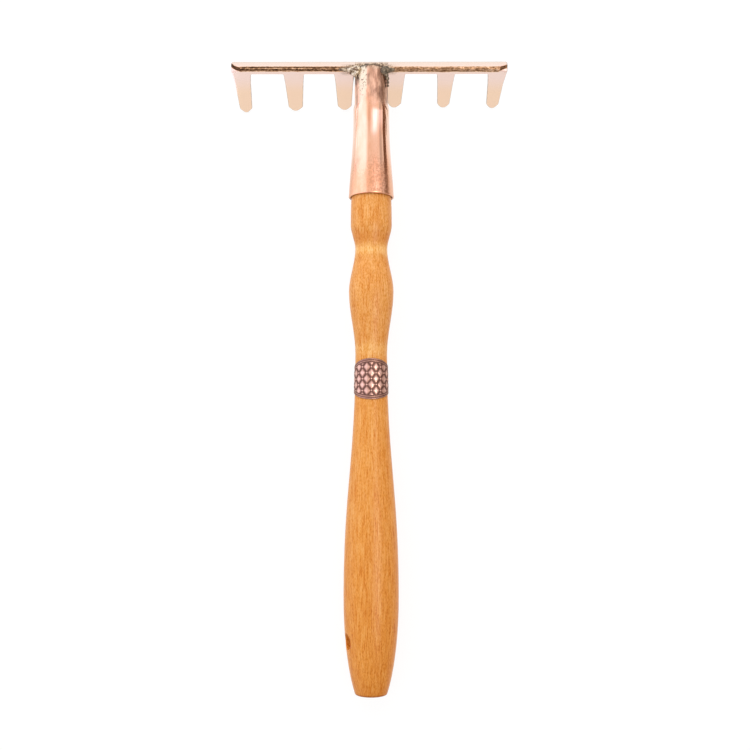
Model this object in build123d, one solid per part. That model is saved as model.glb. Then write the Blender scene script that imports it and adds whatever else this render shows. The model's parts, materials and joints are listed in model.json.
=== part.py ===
"""Hand rake: a turned wooden handle, a rolled ferrule and a six-tine head bent from one sheet.

Each piece is modelled upright in the tool's own frame: Z runs along the handle from the butt to the head,
X across the head, and -Y is the side that shows when the rake lies down. At the end the whole tool is laid
on its tine tips and its grip, with +Z up, +Y towards the head and the origin under the middle of its box.
"""
import os
from math import acos, atan, atan2, cos, degrees, radians, sin, sqrt, tan

from build123d import *

# Handle: lengths from one station of the turning to the next, butt to ferrule
BUTT_TO_BELLY = 60.0
BELLY_TO_WAIST = 151.0
WAIST_TO_KNOB = 40.0
KNOB_TO_NECK = 27.5
NECK_TO_SHOULDER = 15.5
SHOULDER_TO_MOUTH = 17.5
BUTT_DIAMETER = 19.6
BELLY_DIAMETER = 34.4
WAIST_DIAMETER = 20.1
KNOB_DIAMETER = 28.4
NECK_DIAMETER = 20.4
SHOULDER_DIAMETER = 26.3
GRIP_FULLNESS = 0.44
BUTT_EDGE_RADIUS = 1.4
HANGING_HOLE_DIAMETER = 10.0
HANGING_HOLE_HEIGHT = 32.7
HANGING_HOLE_TURN = 16.0
HANGING_HOLE_ROUNDING = 0.7

# Ferrule: a flared mouth, a straight body and a drawn-in neck under the head
FERRULE_MOUTH_DIAMETER = 28.8
FERRULE_BODY_DIAMETER = 23.2
FERRULE_NECK_DIAMETER = 21.3
FERRULE_WALL = 1.5
FLARE_LENGTH = 50.0
FLARE_FULLNESS = 0.26
BODY_LENGTH = 7.0
DRAW_LENGTH = 5.5
NECK_LENGTH = 21.5
MOUTH_EDGE_RADIUS = 0.4
TENON_CLEARANCE = 0.1
TENON_PAST_FLARE = 4.0

# Head: one sheet bent to an angle section, with the tines cut into its long leg
SHEET = 2.0
BEND_INNER_RADIUS = 0.4
FLANGE_HEIGHT = 6.2
FLANGE_CORNER_RADIUS = 1.3
TINE_PITCH = 33.0
TINE_ROOT_WIDTH = 12.2
TINE_FLANK_WIDTH = 10.2
TINE_FLANK_DEPTH = 14.0
TINE_SHOULDER_WIDTH = 8.2
TINE_LENGTHS = (39.1, 37.7, 37.1, 34.9, 35.0, 35.5)
TINE_POINT_LENGTH = 4.2
TINE_POINT_RADIUS = 1.6
TINE_ANGLE = 64.0
HEAD_TURN = 0.5
HEAD_OFFSET = -1.1
END_MARGIN = 0.5
GAP_ROOT_DEPTH = 5.3
GAP_ROOT_RADIUS = 0.7
ON_LINE = 0.01
RIDGE_FORWARD = 6.0
RIDGE_BELOW_RIM = 0.5
SEAT_MARGIN = 1.0
END_FILING_LENGTH = 6.5
END_FILING_DEPTH = 1.2

# Braze that closes the ferrule's end and runs out along the ridge
PLUG_THICKNESS = 2.5
LEFT_BEAD_END = 20.0
RIGHT_BEAD_END = 15.6
BEAD_START = 7.0
BEAD_RADIUS = 3.8
BEAD_DROP = 1.0
BEAD_END_ROUNDING = 3.0

# Band round the waist of the handle, tall in front and narrow behind
BAND_THICKNESS = 0.6
BAND_CLEARANCE = 0.05
BAND_BELOW_WAIST = 16.3
BAND_FRONT_HEIGHT = 26.0
BAND_BACK_HEIGHT = 7.0
BAND_SEAM_GAP = 1.0

# Fasteners at the back
NAIL_HEAD_DIAMETER = 6.0
NAIL_HEAD_HEIGHT = 1.6
NAIL_SHANK_DIAMETER = 3.0
NAIL_SHANK_LENGTH = 16.0
NAIL_FROM_MOUTH = 14.0
NAIL_TIP_SHARE = 0.4
TACK_HEAD_DIAMETER = 3.0
TACK_HEAD_HEIGHT = 0.9
TACK_SHANK_DIAMETER = 1.3
TACK_SHANK_LENGTH = 6.0
TACK_FROM_SEAM = 3.4

# Heights of the stations and places that follow from the sizes above
BELLY_Z = BUTT_TO_BELLY
WAIST_Z = BELLY_Z + BELLY_TO_WAIST
KNOB_Z = WAIST_Z + WAIST_TO_KNOB
NECK_Z = KNOB_Z + KNOB_TO_NECK
SHOULDER_Z = NECK_Z + NECK_TO_SHOULDER
MOUTH_Z = SHOULDER_Z + SHOULDER_TO_MOUTH
FLARE_TOP_Z = MOUTH_Z + FLARE_LENGTH
BODY_TOP_Z = FLARE_TOP_Z + BODY_LENGTH
NECK_START_Z = BODY_TOP_Z + DRAW_LENGTH
RIM_Z = NECK_START_Z + NECK_LENGTH
TENON_END_Z = FLARE_TOP_Z + TENON_PAST_FLARE
RIDGE_Z = RIM_Z - RIDGE_BELOW_RIM
BEND_RADIUS = BEND_INNER_RADIUS + SHEET
TINE_COUNT = len(TINE_LENGTHS)
HEAD_WIDTH = (TINE_COUNT - 1) * TINE_PITCH + TINE_ROOT_WIDTH + 2 * END_MARGIN
NECK_RADIUS = FERRULE_NECK_DIAMETER / 2
NECK_BORE_RADIUS = NECK_RADIUS - FERRULE_WALL
BAND_Z = WAIST_Z - BAND_BELOW_WAIST

# Directions of the bent sheet, brazed on a little out of true: along the ridge, down the tines, up the flange
ACROSS = Vector(1, 0, 0).rotate(Axis.Y, -HEAD_TURN)
DOWN_TINE = Vector(0, sin(radians(TINE_ANGLE)), -cos(radians(TINE_ANGLE))).rotate(Axis.Y, -HEAD_TURN)
UP_FLANGE = Vector(0, cos(radians(TINE_ANGLE)), sin(radians(TINE_ANGLE))).rotate(Axis.Y, -HEAD_TURN)
RIDGE = Vector(HEAD_OFFSET, -RIDGE_FORWARD, RIDGE_Z)
TINE_PLANE = Plane(RIDGE, x_dir=ACROSS, z_dir=UP_FLANGE)
FLANGE_PLANE = Plane(RIDGE, x_dir=-ACROSS, z_dir=DOWN_TINE)
SECTION_PLANE = Plane(RIDGE, x_dir=DOWN_TINE, z_dir=ACROSS)


def ease(start, end, fullness=1 / 3):
    """Turned curve between two (radius, height) stations, running along the axis at both."""
    reach = (end[1] - start[1]) * fullness
    return Bezier(start, (start[0], start[1] + reach), (end[0], end[1] - reach), end)


def turned(*curves, plane=Plane.XZ):
    """Solid of revolution about Z from the curves of a closed (radius, height) profile."""
    return revolve(plane * make_face(curves), Axis.Z)


def ferrule_curves(inset):
    """Curves of the ferrule's outside, or of a surface that lies inset within it, mouth to rim."""
    mouth = FERRULE_MOUTH_DIAMETER / 2 - inset
    body = FERRULE_BODY_DIAMETER / 2 - inset
    neck = NECK_RADIUS - inset
    third = FLARE_LENGTH / 3
    flare = Bezier(
        (mouth, MOUTH_Z),
        (mouth - (mouth - body) * FLARE_FULLNESS, MOUTH_Z + third),
        (body, FLARE_TOP_Z - third),
        (body, FLARE_TOP_Z),
    )
    straight = Line((body, FLARE_TOP_Z), (body, BODY_TOP_Z))
    draw = ease((body, BODY_TOP_Z), (neck, NECK_START_Z))
    upper = Line((neck, NECK_START_Z), (neck, RIM_Z))
    return [flare, straight, draw, upper]


def ferrule_core(inset):
    """Filled body of revolution inside the ferrule's surface at that inset, from mouth to rim."""
    curves = ferrule_curves(inset)
    top = Line(curves[-1] @ 1, (0, RIM_Z))
    bottom = Line((0, MOUTH_Z), curves[0] @ 0)
    return turned(*curves, top, Line((0, RIM_Z), (0, MOUTH_Z)), bottom)


def make_nail(head_diameter, head_height, shank_diameter, shank_length):
    """Domed nail along +Z with its head's underside at the origin and a blunt, tapered end."""
    head_radius = head_diameter / 2
    shank_radius = shank_diameter / 2
    tip_radius = shank_radius * NAIL_TIP_SHARE
    taper_start = shank_diameter - shank_length
    dome = Bezier((head_radius, 0), (head_radius, head_height), (0, head_height))
    return turned(
        dome,
        Line((0, head_height), (0, -shank_length)),
        Line((0, -shank_length), (tip_radius, -shank_length)),
        Line((tip_radius, -shank_length), (shank_radius, taper_start)),
        Line((shank_radius, taper_start), (shank_radius, 0)),
        Line((shank_radius, 0), (head_radius, 0)),
        plane=Plane.YZ,
    )


def grip_curves(outset=0.0):
    """Curves of the turning from belly to waist to knob, or of a surface that lies outset from it."""
    belly = (BELLY_DIAMETER / 2 + outset, BELLY_Z)
    waist = (WAIST_DIAMETER / 2 + outset, WAIST_Z)
    knob = (KNOB_DIAMETER / 2 + outset, KNOB_Z)
    return [ease(belly, waist, GRIP_FULLNESS), ease(waist, knob)]


def make_handle():
    """Turned handle with its tenon, before the hanging hole is bored."""
    butt_radius = BUTT_DIAMETER / 2
    belly_radius = BELLY_DIAMETER / 2
    nose_angle = acos(butt_radius / belly_radius)
    nose_reach = BUTT_TO_BELLY / sin(nose_angle)
    pull = 4 / 3 * tan(nose_angle / 4)
    elliptical_nose = Bezier(
        (butt_radius, 0),
        (butt_radius + pull * belly_radius * sin(nose_angle), pull * nose_reach * cos(nose_angle)),
        (belly_radius, BELLY_Z - pull * nose_reach),
        (belly_radius, BELLY_Z),
    )
    knob = (KNOB_DIAMETER / 2, KNOB_Z)
    neck = (NECK_DIAMETER / 2, NECK_Z)
    shoulder = (SHOULDER_DIAMETER / 2, SHOULDER_Z)
    tenon = ferrule_curves(FERRULE_WALL + TENON_CLEARANCE)[0]
    third = SHOULDER_TO_MOUTH / 3
    into_mouth = Bezier(
        shoulder, (shoulder[0], SHOULDER_Z + third), (tenon @ 0) - (tenon % 0) * third, tenon @ 0
    )
    tenon_end = ((tenon @ 1).X, TENON_END_Z)
    handle = turned(
        Line((0, 0), (butt_radius, 0)),
        elliptical_nose,
        *grip_curves(),
        ease(knob, neck),
        ease(neck, shoulder),
        into_mouth,
        tenon,
        Line(tenon @ 1, tenon_end),
        Line(tenon_end, (0, TENON_END_Z)),
        Line((0, TENON_END_Z), (0, 0)),
    )
    butt_edge = handle.edges().filter_by(GeomType.CIRCLE).sort_by(Axis.Z)[0]
    return fillet(butt_edge, BUTT_EDGE_RADIUS)


def bore_hanging_hole(handle):
    """Cross hole near the butt, with both of its mouths rounded."""
    place = Pos(0, 0, HANGING_HOLE_HEIGHT) * Rot(0, 0, HANGING_HOLE_TURN) * Rot(0, 90, 0)
    bored = handle - place * Cylinder(HANGING_HOLE_DIAMETER / 2, 2 * BELLY_DIAMETER)
    wall = bored.faces().filter_by(GeomType.CYLINDER).sort_by(Axis.Z)[0]
    mouths = wall.edges().filter_by(GeomType.LINE, reverse=True)
    return fillet(mouths, HANGING_HOLE_ROUNDING)


def make_ferrule():
    """Ferrule cut off square in front and along the underside of the tines behind."""
    tube = ferrule_core(0) - ferrule_core(FERRULE_WALL)
    mouth_edges = tube.edges().filter_by(GeomType.CIRCLE).group_by(Axis.Z)[0]
    return split(fillet(mouth_edges, MOUTH_EDGE_RADIUS), bisect_by=TINE_PLANE, keep=Keep.BOTTOM)


def tine_place(index):
    """Place of a tine along the head, counted from the left."""
    return (index - (TINE_COUNT - 1) / 2) * TINE_PITCH


def tine_tip(index):
    """Tip of a tine, on the side of the sheet that rests on the ground."""
    return RIDGE + ACROSS * tine_place(index) + DOWN_TINE * TINE_LENGTHS[index] + UP_FLANGE * SHEET


def tine_outline(index):
    """Flat outline of one tine: hollow, tapered sides and a blunt, rounded point."""
    x = tine_place(index)
    left_root = -HEAD_WIDTH / 2 if index == 0 else x - TINE_ROOT_WIDTH / 2
    right_root = HEAD_WIDTH / 2 if index == TINE_COUNT - 1 else x + TINE_ROOT_WIDTH / 2
    flank_half = TINE_FLANK_WIDTH / 2
    shoulder_half = TINE_SHOULDER_WIDTH / 2
    half_angle = atan2(shoulder_half, TINE_POINT_LENGTH)
    sharp_end = TINE_LENGTHS[index] + TINE_POINT_RADIUS * (1 / sin(half_angle) - 1)
    shoulder = sharp_end - TINE_POINT_LENGTH
    outline = make_face(
        Polyline(
            (left_root, BEND_RADIUS),
            (right_root, BEND_RADIUS),
            (x + flank_half, TINE_FLANK_DEPTH),
            (x + shoulder_half, shoulder),
            (x, sharp_end),
            (x - shoulder_half, shoulder),
            (x - flank_half, TINE_FLANK_DEPTH),
            close=True,
        )
    )
    return fillet(outline.vertices().sort_by(Axis.Y)[-3:], TINE_POINT_RADIUS)


def tine_sheet():
    """Long leg of the head: tines, the web along their roots and the seat that closes the ferrule."""
    seat_depth = (RIDGE_FORWARD + NECK_RADIUS) / sin(radians(TINE_ANGLE)) + SEAT_MARGIN
    web_width = (TINE_COUNT - 1) * TINE_PITCH
    start = Pos(0, BEND_RADIUS)
    web = start * Rectangle(web_width, GAP_ROOT_DEPTH - BEND_RADIUS, align=(Align.CENTER, Align.MIN))
    seat = start * Rectangle(TINE_PITCH, seat_depth - BEND_RADIUS, align=(Align.CENTER, Align.MIN))
    flat = web + seat
    for index in range(TINE_COUNT):
        flat += tine_outline(index)
    corners = flat.vertices()
    roots = [v for v in corners if min(abs(v.Y - GAP_ROOT_DEPTH), abs(v.Y - seat_depth)) < ON_LINE]
    return extrude(TINE_PLANE * fillet(roots, GAP_ROOT_RADIUS), SHEET, dir=UP_FLANGE)


def make_head():
    """Head bent from one sheet, with the two ends of its ridge filed back."""
    arc = Pos(BEND_RADIUS, BEND_RADIUS) * (Circle(BEND_RADIUS) - Circle(BEND_INNER_RADIUS))
    corner = Rectangle(BEND_RADIUS, BEND_RADIUS, align=(Align.MIN, Align.MIN))
    bend = extrude(SECTION_PLANE * (arc & corner), HEAD_WIDTH / 2, both=True)
    leg = FLANGE_HEIGHT - BEND_RADIUS
    flat = Pos(0, BEND_RADIUS) * Rectangle(HEAD_WIDTH, leg, align=(Align.CENTER, Align.MIN))
    flat = fillet(flat.vertices().group_by(Axis.Y)[-1], FLANGE_CORNER_RADIUS)
    flange = extrude(FLANGE_PLANE * flat, SHEET, dir=DOWN_TINE)
    head = bend + flange + tine_sheet()
    outward = -(DOWN_TINE + UP_FLANGE).normalized()
    nose = RIDGE - outward * BEND_RADIUS * (sqrt(2) - 1)
    filing_angle = atan(END_FILING_DEPTH / END_FILING_LENGTH)
    for side in (-1, 1):
        across = ACROSS * side
        start = nose + across * (HEAD_WIDTH / 2 - END_FILING_LENGTH)
        facing = outward * cos(filing_angle) + across * sin(filing_angle)
        head = split(head, bisect_by=Plane(start, z_dir=facing), keep=Keep.BOTTOM)
    return head


def make_braze(head):
    """Plug of braze in the ferrule's end, and the beads where the ridge runs out of it."""
    depth = 2 * FERRULE_NECK_DIAMETER
    fill = Pos(0, 0, RIM_Z) * Cylinder(NECK_BORE_RADIUS, depth, align=(Align.CENTER, Align.CENTER, Align.MAX))
    fill = split(fill, bisect_by=TINE_PLANE, keep=Keep.BOTTOM)
    plug = split(fill, bisect_by=TINE_PLANE.offset(-PLUG_THICKNESS), keep=Keep.TOP)
    inside_bend = Pos(SHEET / 2, SHEET / 2) * Rectangle(depth, depth, align=(Align.MIN, Align.MIN))
    behind = extrude(SECTION_PLANE * inside_bend, HEAD_WIDTH / 2, both=True)
    filled_ferrule = ferrule_core(0)
    beads = []
    for side, end in ((-1, LEFT_BEAD_END), (1, RIGHT_BEAD_END)):
        run = Pos(side * (BEAD_START + end) / 2, -RIDGE_FORWARD, RIDGE_Z - BEAD_DROP) * Rot(0, 90, 0)
        blob = run * fillet(Cylinder(BEAD_RADIUS, end - BEAD_START).edges(), BEAD_END_ROUNDING)
        trimmed = blob - head - behind - filled_ferrule
        beads.append(trimmed.solids().sort_by(SortBy.VOLUME)[-1])
    return Compound([plug.solid(), *beads])


def make_band():
    """Open cuff of sheet on the handle's own curve, its two ends meeting at the back."""
    lower, upper = grip_curves(BAND_CLEARANCE)
    lower_out, upper_out = grip_curves(BAND_CLEARANCE + BAND_THICKNESS)
    band = turned(
        lower, upper, Line(upper @ 1, upper_out @ 1), upper_out, lower_out, Line(lower_out @ 0, lower @ 0)
    )
    depth = WAIST_DIAMETER + 2 * BAND_THICKNESS
    lean = Vector(0, (BAND_FRONT_HEIGHT - BAND_BACK_HEIGHT) / 2, 0)
    for up in (-1, 1):
        middle = Vector(0, 0, BAND_Z + up * (BAND_FRONT_HEIGHT + BAND_BACK_HEIGHT) / 4)
        facing = lean + Vector(0, 0, up * depth)
        band = split(band, bisect_by=Plane(middle, z_dir=facing), keep=Keep.BOTTOM)
    seam = Pos(0, depth / 2, BAND_Z) * Box(BAND_SEAM_GAP, depth, BAND_FRONT_HEIGHT)
    return band - seam


def make_ferrule_nail():
    """Nail that holds the ferrule on the tenon, driven in at the back."""
    flare = ferrule_curves(0)[0]
    along = NAIL_FROM_MOUTH / flare.length
    seat = flare @ along
    lean = degrees(atan2(-(flare % along).X, (flare % along).Y))
    place = Pos(0, seat.X, seat.Y) * Rot(lean - 90, 0, 0)
    nail = make_nail(NAIL_HEAD_DIAMETER, NAIL_HEAD_HEIGHT, NAIL_SHANK_DIAMETER, NAIL_SHANK_LENGTH)
    return place * nail


def make_band_tacks():
    """Two tacks, one through each end of the band."""
    skin = Plane.XZ * grip_curves(BAND_CLEARANCE + BAND_THICKNESS)[0]
    radius = skin.find_intersection_points(Axis((0, 0, BAND_Z), (1, 0, 0)))[0].X
    turn = degrees(TACK_FROM_SEAM / radius)
    tack = make_nail(TACK_HEAD_DIAMETER, TACK_HEAD_HEIGHT, TACK_SHANK_DIAMETER, TACK_SHANK_LENGTH)
    places = [Rot(0, 0, side * turn) * Pos(0, radius, BAND_Z) * Rot(-90, 0, 0) for side in (-1, 1)]
    return Compound([(place * tack).solid() for place in places])


def lying_place(pieces):
    """Place that lays the tool on its outer tine tips and its belly, with the origin under its box's middle."""
    left, right = tine_tip(0), tine_tip(TINE_COUNT - 1)
    roll = atan2(left.Y - right.Y, right.X - left.X)
    tips = (left + right).rotate(Axis.Z, degrees(roll)) / 2
    pitch = atan2(tips.Y - BELLY_DIAMETER / 2, tips.Z - BELLY_Z)
    print("lying roll", degrees(roll), "pitch", degrees(pitch))
    lying = Rot(degrees(pitch) - 90, 0, 0) * Rot(0, 0, degrees(roll))
    box = Compound([lying * piece for piece in pieces]).bounding_box()
    return Pos(-box.center().X, -box.center().Y, -box.min.Z) * lying


def main():
    """Build every piece, lay the tool down and write one file for each piece."""
    head = make_head()
    nail = make_ferrule_nail()
    tacks = make_band_tacks()
    pieces = {
        "tine_head": head,
        "ferrule": make_ferrule() - nail,
        "braze_fill": make_braze(head),
        "handle": bore_hanging_hole(make_handle()) - nail - tacks,
        "handle_band": make_band() - tacks,
        "ferrule_nail": nail,
        "band_tacks": tacks,
    }
    place = lying_place(pieces.values())
    os.makedirs("parts", exist_ok=True)
    for name, piece in pieces.items():
        export_step(place * piece, f"parts/{name}.step")
    hole = place * Pos(0, 0, HANGING_HOLE_HEIGHT) * Rot(0, 0, HANGING_HOLE_TURN) * Rot(0, 90, 0)
    print("hanging hole centre", hole.position, "axis", Plane(hole).z_dir)
    print("box", Compound([place * piece for piece in pieces.values()]).bounding_box())


main()
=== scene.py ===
"""Looks of a hand rake: oiled beech, a polished ferrule, a bent tine head, rough braze and a relief band.

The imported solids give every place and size. Pieces made here are modelled in the tool's own frame, in
metres: Z runs along the handle from the butt to the head, X across the head, and -Y is the side that
faces up.
"""
import json
import math

import bmesh
import bpy
import numpy as np
from mathutils import Matrix, Vector, noise


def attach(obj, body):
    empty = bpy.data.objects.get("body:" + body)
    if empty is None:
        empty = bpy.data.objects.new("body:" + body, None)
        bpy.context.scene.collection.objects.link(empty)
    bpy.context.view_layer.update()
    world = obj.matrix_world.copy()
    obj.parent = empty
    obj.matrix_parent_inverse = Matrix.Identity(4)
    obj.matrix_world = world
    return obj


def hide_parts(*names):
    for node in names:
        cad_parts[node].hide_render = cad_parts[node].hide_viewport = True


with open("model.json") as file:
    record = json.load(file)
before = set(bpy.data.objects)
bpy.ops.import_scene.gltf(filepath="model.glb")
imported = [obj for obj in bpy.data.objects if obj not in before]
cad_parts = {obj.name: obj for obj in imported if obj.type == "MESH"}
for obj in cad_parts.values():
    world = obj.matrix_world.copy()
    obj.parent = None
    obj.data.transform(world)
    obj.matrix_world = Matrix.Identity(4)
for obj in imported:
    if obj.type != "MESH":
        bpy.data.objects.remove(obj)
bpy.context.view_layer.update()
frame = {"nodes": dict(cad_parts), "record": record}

MM = 0.001

# How the tool lies: its pitch and roll, and the hanging hole's place and its height above the butt
LYING_PITCH = math.radians(1.9977)
LYING_ROLL = math.radians(1.1236)
HANGING_HOLE = Vector(frame["record"]["mounts"][0]["pos_m"])
HANGING_HOLE_HEIGHT = 32.7 * MM

# Heights of the turning's stations above the butt, the radii there, and the fullness of the grip's curve
BELLY_Z = 60 * MM
WAIST_Z = BELLY_Z + 151 * MM
NECK_Z = WAIST_Z + 67.5 * MM
MOUTH_Z = NECK_Z + 33 * MM
BELLY_RADIUS = 17.2 * MM
WAIST_RADIUS = 10.05 * MM
GRIP_FULLNESS = 0.44

# Ferrule: radii, lengths from the mouth up, and the fullness of the flare's curve
MOUTH_RADIUS = 14.4 * MM
BODY_RADIUS = 11.6 * MM
NECK_RADIUS = 10.65 * MM
FERRULE_WALL = 1.5 * MM
FLARE_LENGTH = 50 * MM
FLARE_FULLNESS = 0.26
BODY_LENGTH = 7 * MM
DRAW_LENGTH = 5.5 * MM
NECK_LENGTH = 21.5 * MM
FLARE_TOP_Z = MOUTH_Z + FLARE_LENGTH
DRAW_Z = FLARE_TOP_Z + BODY_LENGTH
NECK_START_Z = DRAW_Z + DRAW_LENGTH
RIM_Z = NECK_START_Z + NECK_LENGTH

# The lip flares a little more, and in front and behind the neck is drawn in by less, over a longer stretch
LIP_FLARE = 0.15 * MM
LIP_FLARE_HEIGHT = 2.5 * MM
FRONT_DRAW = 0.45
FRONT_DRAW_SPREAD = 4 * MM

# Head: the ridge's place, the head's turn and the tines' angle, the sheet, its bend and its filed ends
HEAD_OFFSET = -1.1 * MM
RIDGE_FORWARD = 6 * MM
RIDGE_Z = RIM_Z - 0.5 * MM
RIDGE = Vector((HEAD_OFFSET, -RIDGE_FORWARD, RIDGE_Z))
HEAD_TURN = math.radians(0.5)
TINE_ANGLE = math.radians(64)
SHEET = 2 * MM
BEND_RADIUS = 2.4 * MM
HEAD_HALF_WIDTH = 89.1 * MM
END_FILING_LENGTH = 6.5 * MM
END_FILING_DEPTH = 1.2 * MM
HEAD_VOXEL = 0.35 * MM

# Tines from left to right: lengths from the ridge, extra width on either side, and fullness of the tips
TINE_PITCH = 33 * MM
TINE_HALF_WIDTH = 5 * MM
NOTCH_DEPTH = 5.3 * MM
TINE_LENGTHS = [length * MM for length in (39.1, 37.7, 37.1, 34.9, 35.0, 35.5)]
EXTRA_LEFT = [width * MM for width in (0, 0.4, 0.6, 0, 0, 0)]
EXTRA_RIGHT = [width * MM for width in (0, 1.2, 0.7, 0.75, 0, 0)]
TIP_LENGTH = 3.5 * MM
TIP_FULLNESS = (0.15, 0.28, 0.28, 0.4, 0.4, 0.4)

# Drops of braze in millimetres, first those on the left: X, Y, height above the ridge, and radius
BRAZE_DROPS = (
    (-8.6, -8.2, -0.8, 1.4), (-10.2, -7.3, -0.6, 1.7), (-11.8, -6.7, -0.7, 1.6),
    (-13.4, -6.4, -1.0, 1.6), (-15.0, -6.2, -1.1, 1.5), (-16.8, -6.0, -1.2, 1.4),
    (-18.6, -5.8, -1.0, 1.2), (-20.2, -5.6, -0.9, 0.9), (-9.6, -7.4, -3.2, 1.4),
    (-10.4, -6.4, -4.8, 1.2), (-11.8, -5.6, -3.8, 1.2), (-13.2, -5.2, -3.2, 1.0),
    (-9.9, -6.4, -6.6, 0.9),
    (7.6, -7.8, -2.6, 2.7), (8.6, -7.6, -3.6, 2.0), (9.4, -7.8, -1.2, 2.0),
    (10.6, -7.2, -1.6, 1.9), (12.2, -6.4, -1.2, 1.5), (13.8, -6.1, -0.9, 1.1),
    (9.4, -7.2, -5.0, 1.6), (10.2, -6.4, -7.0, 1.3), (10.5, -5.6, -9.2, 1.0),
    (10.6, -5.0, -11.2, 0.8),
)
BRAZE_VOXEL = 0.3 * MM

# Band round the waist, tall in front and narrow behind
BAND_Z = WAIST_Z - 16.3 * MM
BAND_FRONT_HEIGHT = 26 * MM
BAND_BACK_HEIGHT = 7 * MM
BAND_SEAM_GAP = 1 * MM
BAND_CLEARANCE = 0.05 * MM
BAND_GROUND = 0.3 * MM
BAND_RELIEF = 0.4 * MM

# Camera: the photograph's view, from above and a little from the butt's side
CAMERA_PLACE = Vector((3.45 * MM, -79.57 * MM, 676.6 * MM))
CAMERA_TIP = math.radians(6.697)
LENS = 50
SENSOR = 36

TOOL = (
    Matrix.Translation(HANGING_HOLE)
    @ Matrix.Rotation(LYING_PITCH - math.pi / 2, 4, "X")
    @ Matrix.Rotation(LYING_ROLL, 4, "Z")
    @ Matrix.Translation((0, 0, -HANGING_HOLE_HEIGHT))
)

# The head's own frame has its origin on the ridge: X along the ridge, Y down the tines and Z up the flange
HEAD = (
    TOOL
    @ Matrix.Translation(RIDGE)
    @ Matrix.Rotation(-HEAD_TURN, 4, "Y")
    @ Matrix.Rotation(TINE_ANGLE - math.pi / 2, 4, "X")
)


def ease(start, end, value):
    """Smooth step from 0 at start to 1 at end."""
    share = min(max((value - start) / (end - start), 0), 1)
    return share * share * (3 - 2 * share)


def hump(middle, width, value):
    """Smooth bump of height 1 round a middle value."""
    return math.exp(-(((value - middle) / width) ** 2))


def ripple(point, size):
    """Smooth noise from -1 to 1 with bumps of about that size."""
    return noise.noise(point / size)


def rgba(colour):
    """Opaque colour from three numbers, or a grey from one."""
    if isinstance(colour, (int, float)):
        colour = (colour, colour, colour)
    return (*colour, 1)


class Nodes:
    """A node tree, built with short calls."""

    def __init__(self, tree):
        self.tree = tree

    def give(self, socket, value):
        """Link a socket to another one, or set it to a number, a vector or a colour."""
        if isinstance(value, bpy.types.NodeSocket):
            self.tree.links.new(value, socket)
        else:
            socket.default_value = rgba(value) if socket.type == "RGBA" else value

    def node(self, kind, sockets, **settings):
        """New node with its settings, and its inputs by name or number."""
        made = self.tree.nodes.new("ShaderNode" + kind)
        for name, value in settings.items():
            setattr(made, name, value)
        for name, value in sockets.items():
            self.give(made.inputs[name], value)
        return made

    def place(self, scale=(1, 1, 1), turn=(0, 0, 0)):
        """Object coordinates, turned and then scaled."""
        coordinates = self.node("TexCoord", {}).outputs["Object"]
        turned = self.node("Mapping", {"Vector": coordinates, "Rotation": turn}).outputs[0]
        return self.node("Mapping", {"Vector": turned, "Scale": scale}).outputs[0]

    def noise(self, where, detail=2.0, roughness=0.5, distortion=0.0):
        """Smooth noise from 0 to 1, with bumps about one unit apart."""
        grain = {"Scale": 1.0, "Detail": detail, "Roughness": roughness, "Distortion": distortion}
        return self.node("TexNoise", {"Vector": where, **grain}).outputs[0]

    def ramp(self, factor, *stops):
        """Colour ramp through (place, colour) stops."""
        made = self.node("ValToRGB", {"Fac": factor})
        elements = made.color_ramp.elements
        while len(elements) < len(stops):
            elements.new(0.5)
        for element, (at, colour) in zip(elements, stops):
            element.position = at
            element.color = rgba(colour)
        return made.outputs[0]

    def mix(self, factor, first, second, blend="MIX"):
        """The first colour where the factor is 0, and the second, or their blend, where it is 1."""
        made = self.node("Mix", {}, data_type="RGBA", blend_type=blend)
        for index, value in ((0, factor), (6, first), (7, second)):
            self.give(made.inputs[index], value)
        return made.outputs[2]

    def multiply(self, first, second):
        """Product of two colours."""
        return self.mix(1.0, first, second, "MULTIPLY")

    def tinted(self, share, tone, tint):
        """A colour, times a tint on a share of the surface."""
        return self.mix(share, tone, self.multiply(tone, tint))

    def compute(self, operation, *values):
        """Arithmetic on numbers, or on sockets that give numbers."""
        return self.node("Math", dict(enumerate(values)), operation=operation).outputs[0]

    def plus(self, first, second):
        return self.compute("ADD", first, second)

    def minus(self, first, second):
        return self.compute("SUBTRACT", first, second)

    def times(self, first, second):
        return self.compute("MULTIPLY", first, second)

    def vector(self, operation, *values):
        """Arithmetic on vectors."""
        return self.node("VectorMath", dict(enumerate(values)), operation=operation).outputs[0]

    def fade(self, value, start, end):
        """Smooth step of a value from 0 at start to 1 at end."""
        sockets = {"Value": value, "From Min": start, "From Max": end}
        return self.node("MapRange", sockets, interpolation_type="SMOOTHSTEP").outputs[0]

    def band(self, value, first, second):
        """Share that is 1 between two edges, each given as the values where it is 0 and 1."""
        return self.times(self.fade(value, *first), self.fade(value, *second))

    def attribute(self, name):
        """Number that a mesh keeps for each vertex."""
        return self.node("Attribute", {}, attribute_name=name).outputs["Fac"]

    def stained(self, tone, name, colour):
        """A colour with another over it, as far as the mesh's number of that name says."""
        return self.mix(self.attribute(name), tone, colour)


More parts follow.
